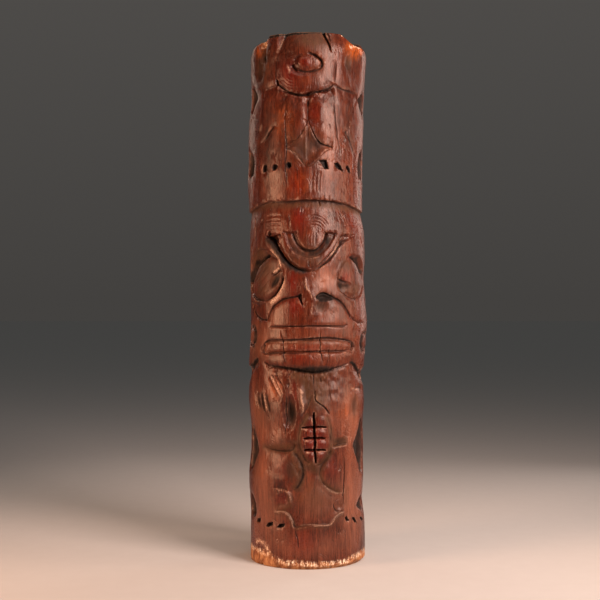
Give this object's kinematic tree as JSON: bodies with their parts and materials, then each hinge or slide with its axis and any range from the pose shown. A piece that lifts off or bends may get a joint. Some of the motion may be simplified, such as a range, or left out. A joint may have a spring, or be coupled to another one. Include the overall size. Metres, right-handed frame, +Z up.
{
  "type": "tiki post",
  "caption": "Carved wooden log post of two stacked figures, a blunt-snouted head over a wide-mouthed face with a slotted leaf-shaped belly panel, standing on a flat foot.",
  "frame": {"origin": "middle of the flat foot, on the floor", "axes": "+Z up along the log; the carved front faces -Y; +X is to the right of someone who faces the carving"},
  "size_m": [0.2787, 0.2743, 1.2],
  "materials": {
    "stained_redwood": "dark red-brown stain under a rubbed, satin wax, worn to bare wood at the foot's edge"
  },
  "bodies": {
    "root": {"tiki_post": "stained_redwood"}
  },
  "joints": []
}
